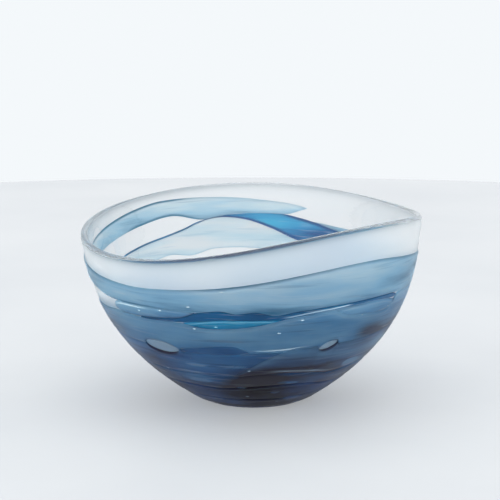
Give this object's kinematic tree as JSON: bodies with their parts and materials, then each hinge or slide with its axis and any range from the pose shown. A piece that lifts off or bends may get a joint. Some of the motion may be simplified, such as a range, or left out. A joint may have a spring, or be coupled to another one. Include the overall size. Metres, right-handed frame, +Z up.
{
  "type": "glass_bowl",
  "caption": "Heavy clear glass bowl with a wavy fire-polished rim, a flat foot and blue glass wraps wound round its satin outside.",
  "frame": {"origin": "the middle of the flat foot, on the surface that the bowl stands on", "axes": "+Z up, out of the open mouth; +X to the right and +Y to the back as the bowl is seen from its low-rimmed front"},
  "size_m": [0.2868, 0.2886, 0.1648],
  "materials": {
    "clear_glass": "clear, polished inside and satin outside",
    "pale_glass": "satin",
    "sky_glass": "satin",
    "bright_glass": "satin",
    "deep_glass": "satin",
    "steel_glass": "satin",
    "slate_glass": "satin",
    "navy_glass": "satin",
    "ink_glass": "satin"
  },
  "bodies": {
    "root": {"clear_bowl": "clear_glass", "foot_disc": "ink_glass", "base_wrap": "ink_glass", "foot_wrap": "ink_glass", "heel_wrap": "navy_glass", "lower_wrap": "navy_glass", "lower_tail": "slate_glass", "middle_wrap": "steel_glass", "waist_wrap": "deep_glass", "bright_trail": "bright_glass", "left_trail": "steel_glass", "lens_trail": "steel_glass", "dark_lens": "ink_glass", "shoulder_wrap": "sky_glass", "shoulder_tail": "bright_glass", "pale_wrap": "pale_glass", "diagonal_thread": "deep_glass"}
  },
  "joints": []
}
